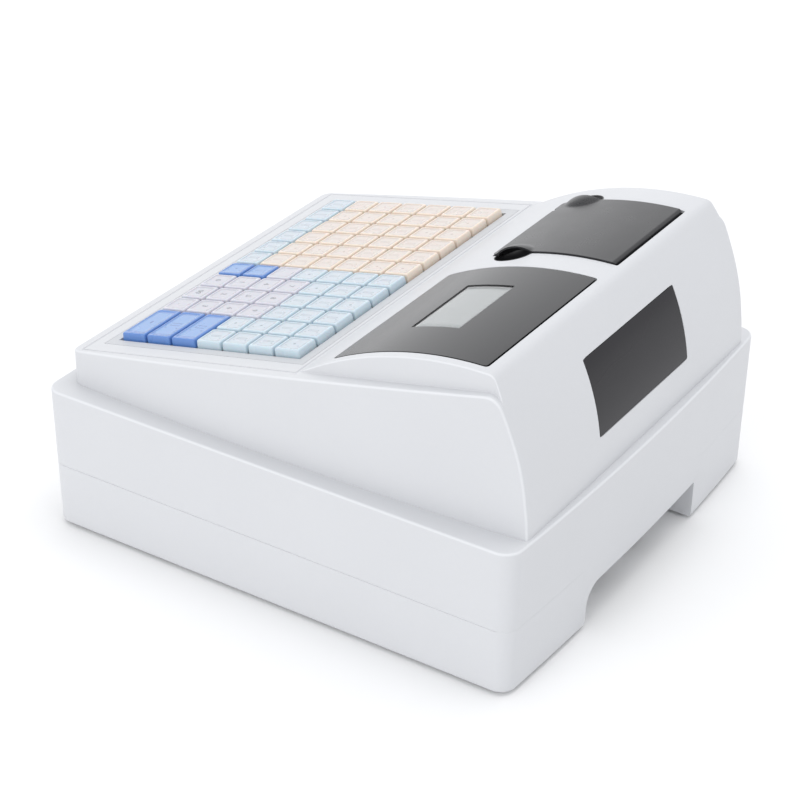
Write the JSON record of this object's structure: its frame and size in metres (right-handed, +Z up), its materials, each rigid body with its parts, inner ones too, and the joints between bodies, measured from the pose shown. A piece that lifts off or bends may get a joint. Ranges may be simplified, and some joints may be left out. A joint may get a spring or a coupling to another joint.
{
  "type": "cash register",
  "caption": "White electronic cash register with a tilted keyboard, smoked display lens, hinged printer cover and a cash drawer base.",
  "frame": {"origin": "centre of the footprint at the underside of the rubber feet", "axes": "+X to the operator's right, +Y from the operator to the customer, +Z up"},
  "size_m": [0.307, 0.332, 0.1882],
  "materials": {
    "case_white": "fine satin moulding",
    "deck_grey": "satin",
    "smoked_lens": "polished smoked plastic",
    "cover_grey": "satin dark grey",
    "black_plastic": "satin black",
    "key_blue": "clear capped blue",
    "key_sky": "clear capped pale blue",
    "key_lilac": "clear capped pale lilac",
    "key_peach": "clear capped peach",
    "lcd": "grey liquid crystal display",
    "circuit_board": "green solder mask",
    "steel": "zinc plated sheet",
    "polished_steel": "ground bar",
    "grey_plastic": "moulded grey",
    "dark_metal": "dark painted",
    "nylon": "natural nylon",
    "rubber": "black rubber",
    "paper": "thermal paper",
    "cardboard": "brown card",
    "transformer": "laminated core and winding",
    "spring_steel": "drawn wire"
  },
  "bodies": {
    "housing": {"rubber_feet": "rubber", "lower_housing": "case_white", "upper_housing": "case_white", "case_screws": "steel", "register_shell": "case_white", "key_frame": "deck_grey", "keyboard_board": "circuit_board", "display_lens": "smoked_lens", "operator_display": "lcd", "customer_window": "smoked_lens", "customer_display": "black_plastic", "printer_chassis": "grey_plastic", "thermal_head": "dark_metal", "printer_motor": "dark_metal", "cover_hinge_pin": "polished_steel", "grip_cups": "black_plastic", "main_board": "circuit_board", "power_supply": "transformer", "rear_sockets": "black_plastic", "drawer_rails": "steel", "latch_solenoid": "steel", "eject_spring": "spring_steel"},
    "wide_key_1": {"wide_key_1": "key_blue"},
    "wide_key_2": {"wide_key_2": "key_blue"},
    "wide_key_3": {"wide_key_3": "key_blue"},
    "side_keys": {"side_keys": "key_sky"},
    "upper_keys": {"upper_keys": "key_sky"},
    "action_keys": {"action_keys": "key_blue"},
    "front_row_keys": {"front_row_keys": "key_sky"},
    "number_keys_1": {"number_keys_1": "key_lilac"},
    "number_keys_2": {"number_keys_2": "key_lilac"},
    "number_keys_3": {"number_keys_3": "key_lilac"},
    "department_keys_1": {"department_keys_1": "key_peach"},
    "department_keys_2": {"department_keys_2": "key_peach"},
    "department_keys_3": {"department_keys_3": "key_peach"},
    "department_keys_4": {"department_keys_4": "key_peach"},
    "department_keys_5": {"department_keys_5": "key_peach"},
    "department_keys_6": {"department_keys_6": "key_peach"},
    "platen": {"platen_roller": "rubber", "platen_shaft": "polished_steel", "platen_gear": "nylon"},
    "motor_gear": {"motor_gear": "nylon"},
    "paper": {"paper_roll": "paper", "paper_core": "cardboard"},
    "printer_cover": {"printer_cover": "cover_grey"},
    "drawer": {"drawer_tray": "steel", "drawer_front": "case_white", "lock_cylinder": "steel", "coin_tray": "black_plastic", "clip_rod": "polished_steel"},
    "front_rollers": {"front_rollers": "nylon"},
    "rear_rollers": {"rear_rollers": "nylon"},
    "lock_plug": {"lock_plug": "steel"},
    "note_clip_1": {"note_clip_1": "spring_steel"},
    "note_clip_2": {"note_clip_2": "spring_steel"},
    "note_clip_3": {"note_clip_3": "spring_steel"},
    "note_clip_4": {"note_clip_4": "spring_steel"},
    "latch_lever": {"latch_lever": "steel"},
    "solenoid_plunger": {"solenoid_plunger": "polished_steel"}
  },
  "joints": [
    {"name": "wide_key_1_press", "type": "slide", "parent": "housing", "child": "wide_key_1", "axis": [0, 0.2036, -0.979], "range_m": [0, 0.0024], "stiffness_N_per_m": 200, "springref_m": -0.002},
    {"name": "wide_key_2_press", "type": "slide", "parent": "housing", "child": "wide_key_2", "axis": [0, 0.2036, -0.979], "range_m": [0, 0.0024], "stiffness_N_per_m": 200, "springref_m": -0.002},
    {"name": "wide_key_3_press", "type": "slide", "parent": "housing", "child": "wide_key_3", "axis": [0, 0.2036, -0.979], "range_m": [0, 0.0024], "stiffness_N_per_m": 200, "springref_m": -0.002},
    {"name": "side_keys_press", "type": "slide", "parent": "housing", "child": "side_keys", "axis": [0, 0.2036, -0.979], "range_m": [0, 0.0024], "stiffness_N_per_m": 200, "springref_m": -0.002},
    {"name": "upper_keys_press", "type": "slide", "parent": "housing", "child": "upper_keys", "axis": [0, 0.2036, -0.979], "range_m": [0, 0.0024], "stiffness_N_per_m": 200, "springref_m": -0.002},
    {"name": "action_keys_press", "type": "slide", "parent": "housing", "child": "action_keys", "axis": [0, 0.2036, -0.979], "range_m": [0, 0.0024], "stiffness_N_per_m": 200, "springref_m": -0.002},
    {"name": "front_row_keys_press", "type": "slide", "parent": "housing", "child": "front_row_keys", "axis": [0, 0.2036, -0.979], "range_m": [0, 0.0024], "stiffness_N_per_m": 200, "springref_m": -0.002},
    {"name": "number_keys_1_press", "type": "slide", "parent": "housing", "child": "number_keys_1", "axis": [0, 0.2036, -0.979], "range_m": [0, 0.0024], "stiffness_N_per_m": 200, "springref_m": -0.002},
    {"name": "number_keys_2_press", "type": "slide", "parent": "housing", "child": "number_keys_2", "axis": [0, 0.2036, -0.979], "range_m": [0, 0.0024], "stiffness_N_per_m": 200, "springref_m": -0.002},
    {"name": "number_keys_3_press", "type": "slide", "parent": "housing", "child": "number_keys_3", "axis": [0, 0.2036, -0.979], "range_m": [0, 0.0024], "stiffness_N_per_m": 200, "springref_m": -0.002},
    {"name": "department_keys_1_press", "type": "slide", "parent": "housing", "child": "department_keys_1", "axis": [0, 0.2036, -0.979], "range_m": [0, 0.0024], "stiffness_N_per_m": 200, "springref_m": -0.002},
    {"name": "department_keys_2_press", "type": "slide", "parent": "housing", "child": "department_keys_2", "axis": [0, 0.2036, -0.979], "range_m": [0, 0.0024], "stiffness_N_per_m": 200, "springref_m": -0.002},
    {"name": "department_keys_3_press", "type": "slide", "parent": "housing", "child": "department_keys_3", "axis": [0, 0.2036, -0.979], "range_m": [0, 0.0024], "stiffness_N_per_m": 200, "springref_m": -0.002},
    {"name": "department_keys_4_press", "type": "slide", "parent": "housing", "child": "department_keys_4", "axis": [0, 0.2036, -0.979], "range_m": [0, 0.0024], "stiffness_N_per_m": 200, "springref_m": -0.002},
    {"name": "department_keys_5_press", "type": "slide", "parent": "housing", "child": "department_keys_5", "axis": [0, 0.2036, -0.979], "range_m": [0, 0.0024], "stiffness_N_per_m": 200, "springref_m": -0.002},
    {"name": "department_keys_6_press", "type": "slide", "parent": "housing", "child": "department_keys_6", "axis": [0, 0.2036, -0.979], "range_m": [0, 0.0024], "stiffness_N_per_m": 200, "springref_m": -0.002},
    {"name": "platen_spin", "type": "hinge", "parent": "housing", "child": "platen", "pos_m": [-0.063, 0.0553, 0.15478], "axis": [1, 0, 0], "continuous": true},
    {"name": "motor_spin", "type": "hinge", "parent": "housing", "child": "motor_gear", "pos_m": [-0.063, 0.0553, 0.13638], "axis": [1, 0, 0], "continuous": true},
    {"name": "paper_spin", "type": "hinge", "parent": "housing", "child": "paper", "pos_m": [-0.063, 0.097, 0.1322], "axis": [1, 0, 0], "continuous": true},
    {"name": "cover_hinge", "type": "hinge", "parent": "housing", "child": "printer_cover", "pos_m": [-0.063, 0.1221, 0.18398], "axis": [-1, 0, 0], "range_deg": [0, 85]},
    {"name": "drawer_slide", "type": "slide", "parent": "housing", "child": "drawer", "axis": [0, -1, 0], "range_m": [0, 0.22]},
    {"name": "front_roller_spin", "type": "hinge", "parent": "housing", "child": "front_rollers", "pos_m": [0, -0.15, 0.0377], "axis": [1, 0, 0], "range_deg": [0, 1810]},
    {"name": "rear_roller_spin", "type": "hinge", "parent": "drawer", "child": "rear_rollers", "pos_m": [0, 0.1, 0.033], "axis": [1, 0, 0], "range_deg": [0, 1810]},
    {"name": "lock_turn", "type": "hinge", "parent": "drawer", "child": "lock_plug", "pos_m": [0, -0.166, 0.062], "axis": [0, -1, 0], "range_deg": [0, 90]},
    {"name": "note_clip_1_lift", "type": "hinge", "parent": "drawer", "child": "note_clip_1", "pos_m": [-0.0924, 0.1022, 0.068], "axis": [-1, 0, 0], "range_deg": [0, 38], "stiffness_Nm_per_rad": 0.03, "springref_deg": -28.65},
    {"name": "note_clip_2_lift", "type": "hinge", "parent": "drawer", "child": "note_clip_2", "pos_m": [-0.0308, 0.1022, 0.068], "axis": [-1, 0, 0], "range_deg": [0, 38], "stiffness_Nm_per_rad": 0.03, "springref_deg": -28.65},
    {"name": "note_clip_3_lift", "type": "hinge", "parent": "drawer", "child": "note_clip_3", "pos_m": [0.0308, 0.1022, 0.068], "axis": [-1, 0, 0], "range_deg": [0, 38], "stiffness_Nm_per_rad": 0.03, "springref_deg": -28.65},
    {"name": "note_clip_4_lift", "type": "hinge", "parent": "drawer", "child": "note_clip_4", "pos_m": [0.0924, 0.1022, 0.068], "axis": [-1, 0, 0], "range_deg": [0, 38], "stiffness_Nm_per_rad": 0.03, "springref_deg": -28.65},
    {"name": "latch_drop", "type": "hinge", "parent": "housing", "child": "latch_lever", "pos_m": [0, 0.141, 0.066], "axis": [1, 0, 0], "range_deg": [0, 12], "stiffness_Nm_per_rad": 0.05, "springref_deg": -8.59},
    {"name": "plunger_drop", "type": "slide", "parent": "housing", "child": "solenoid_plunger", "axis": [0, 0, -1], "range_m": [0, 0.0023]}
  ],
  "couplings": [
    {"joint": "motor_spin", "follows": "platen_spin", "ratio": -1.0909},
    {"joint": "paper_spin", "follows": "platen_spin", "ratio": 0.24138},
    {"joint": "front_roller_spin", "follows": "drawer_slide", "rad_per_m": 142.86},
    {"joint": "rear_roller_spin", "follows": "drawer_slide", "rad_per_m": 142.86},
    {"joint": "plunger_drop", "follows": "latch_drop", "m_per_rad": 0.0107}
  ]
}
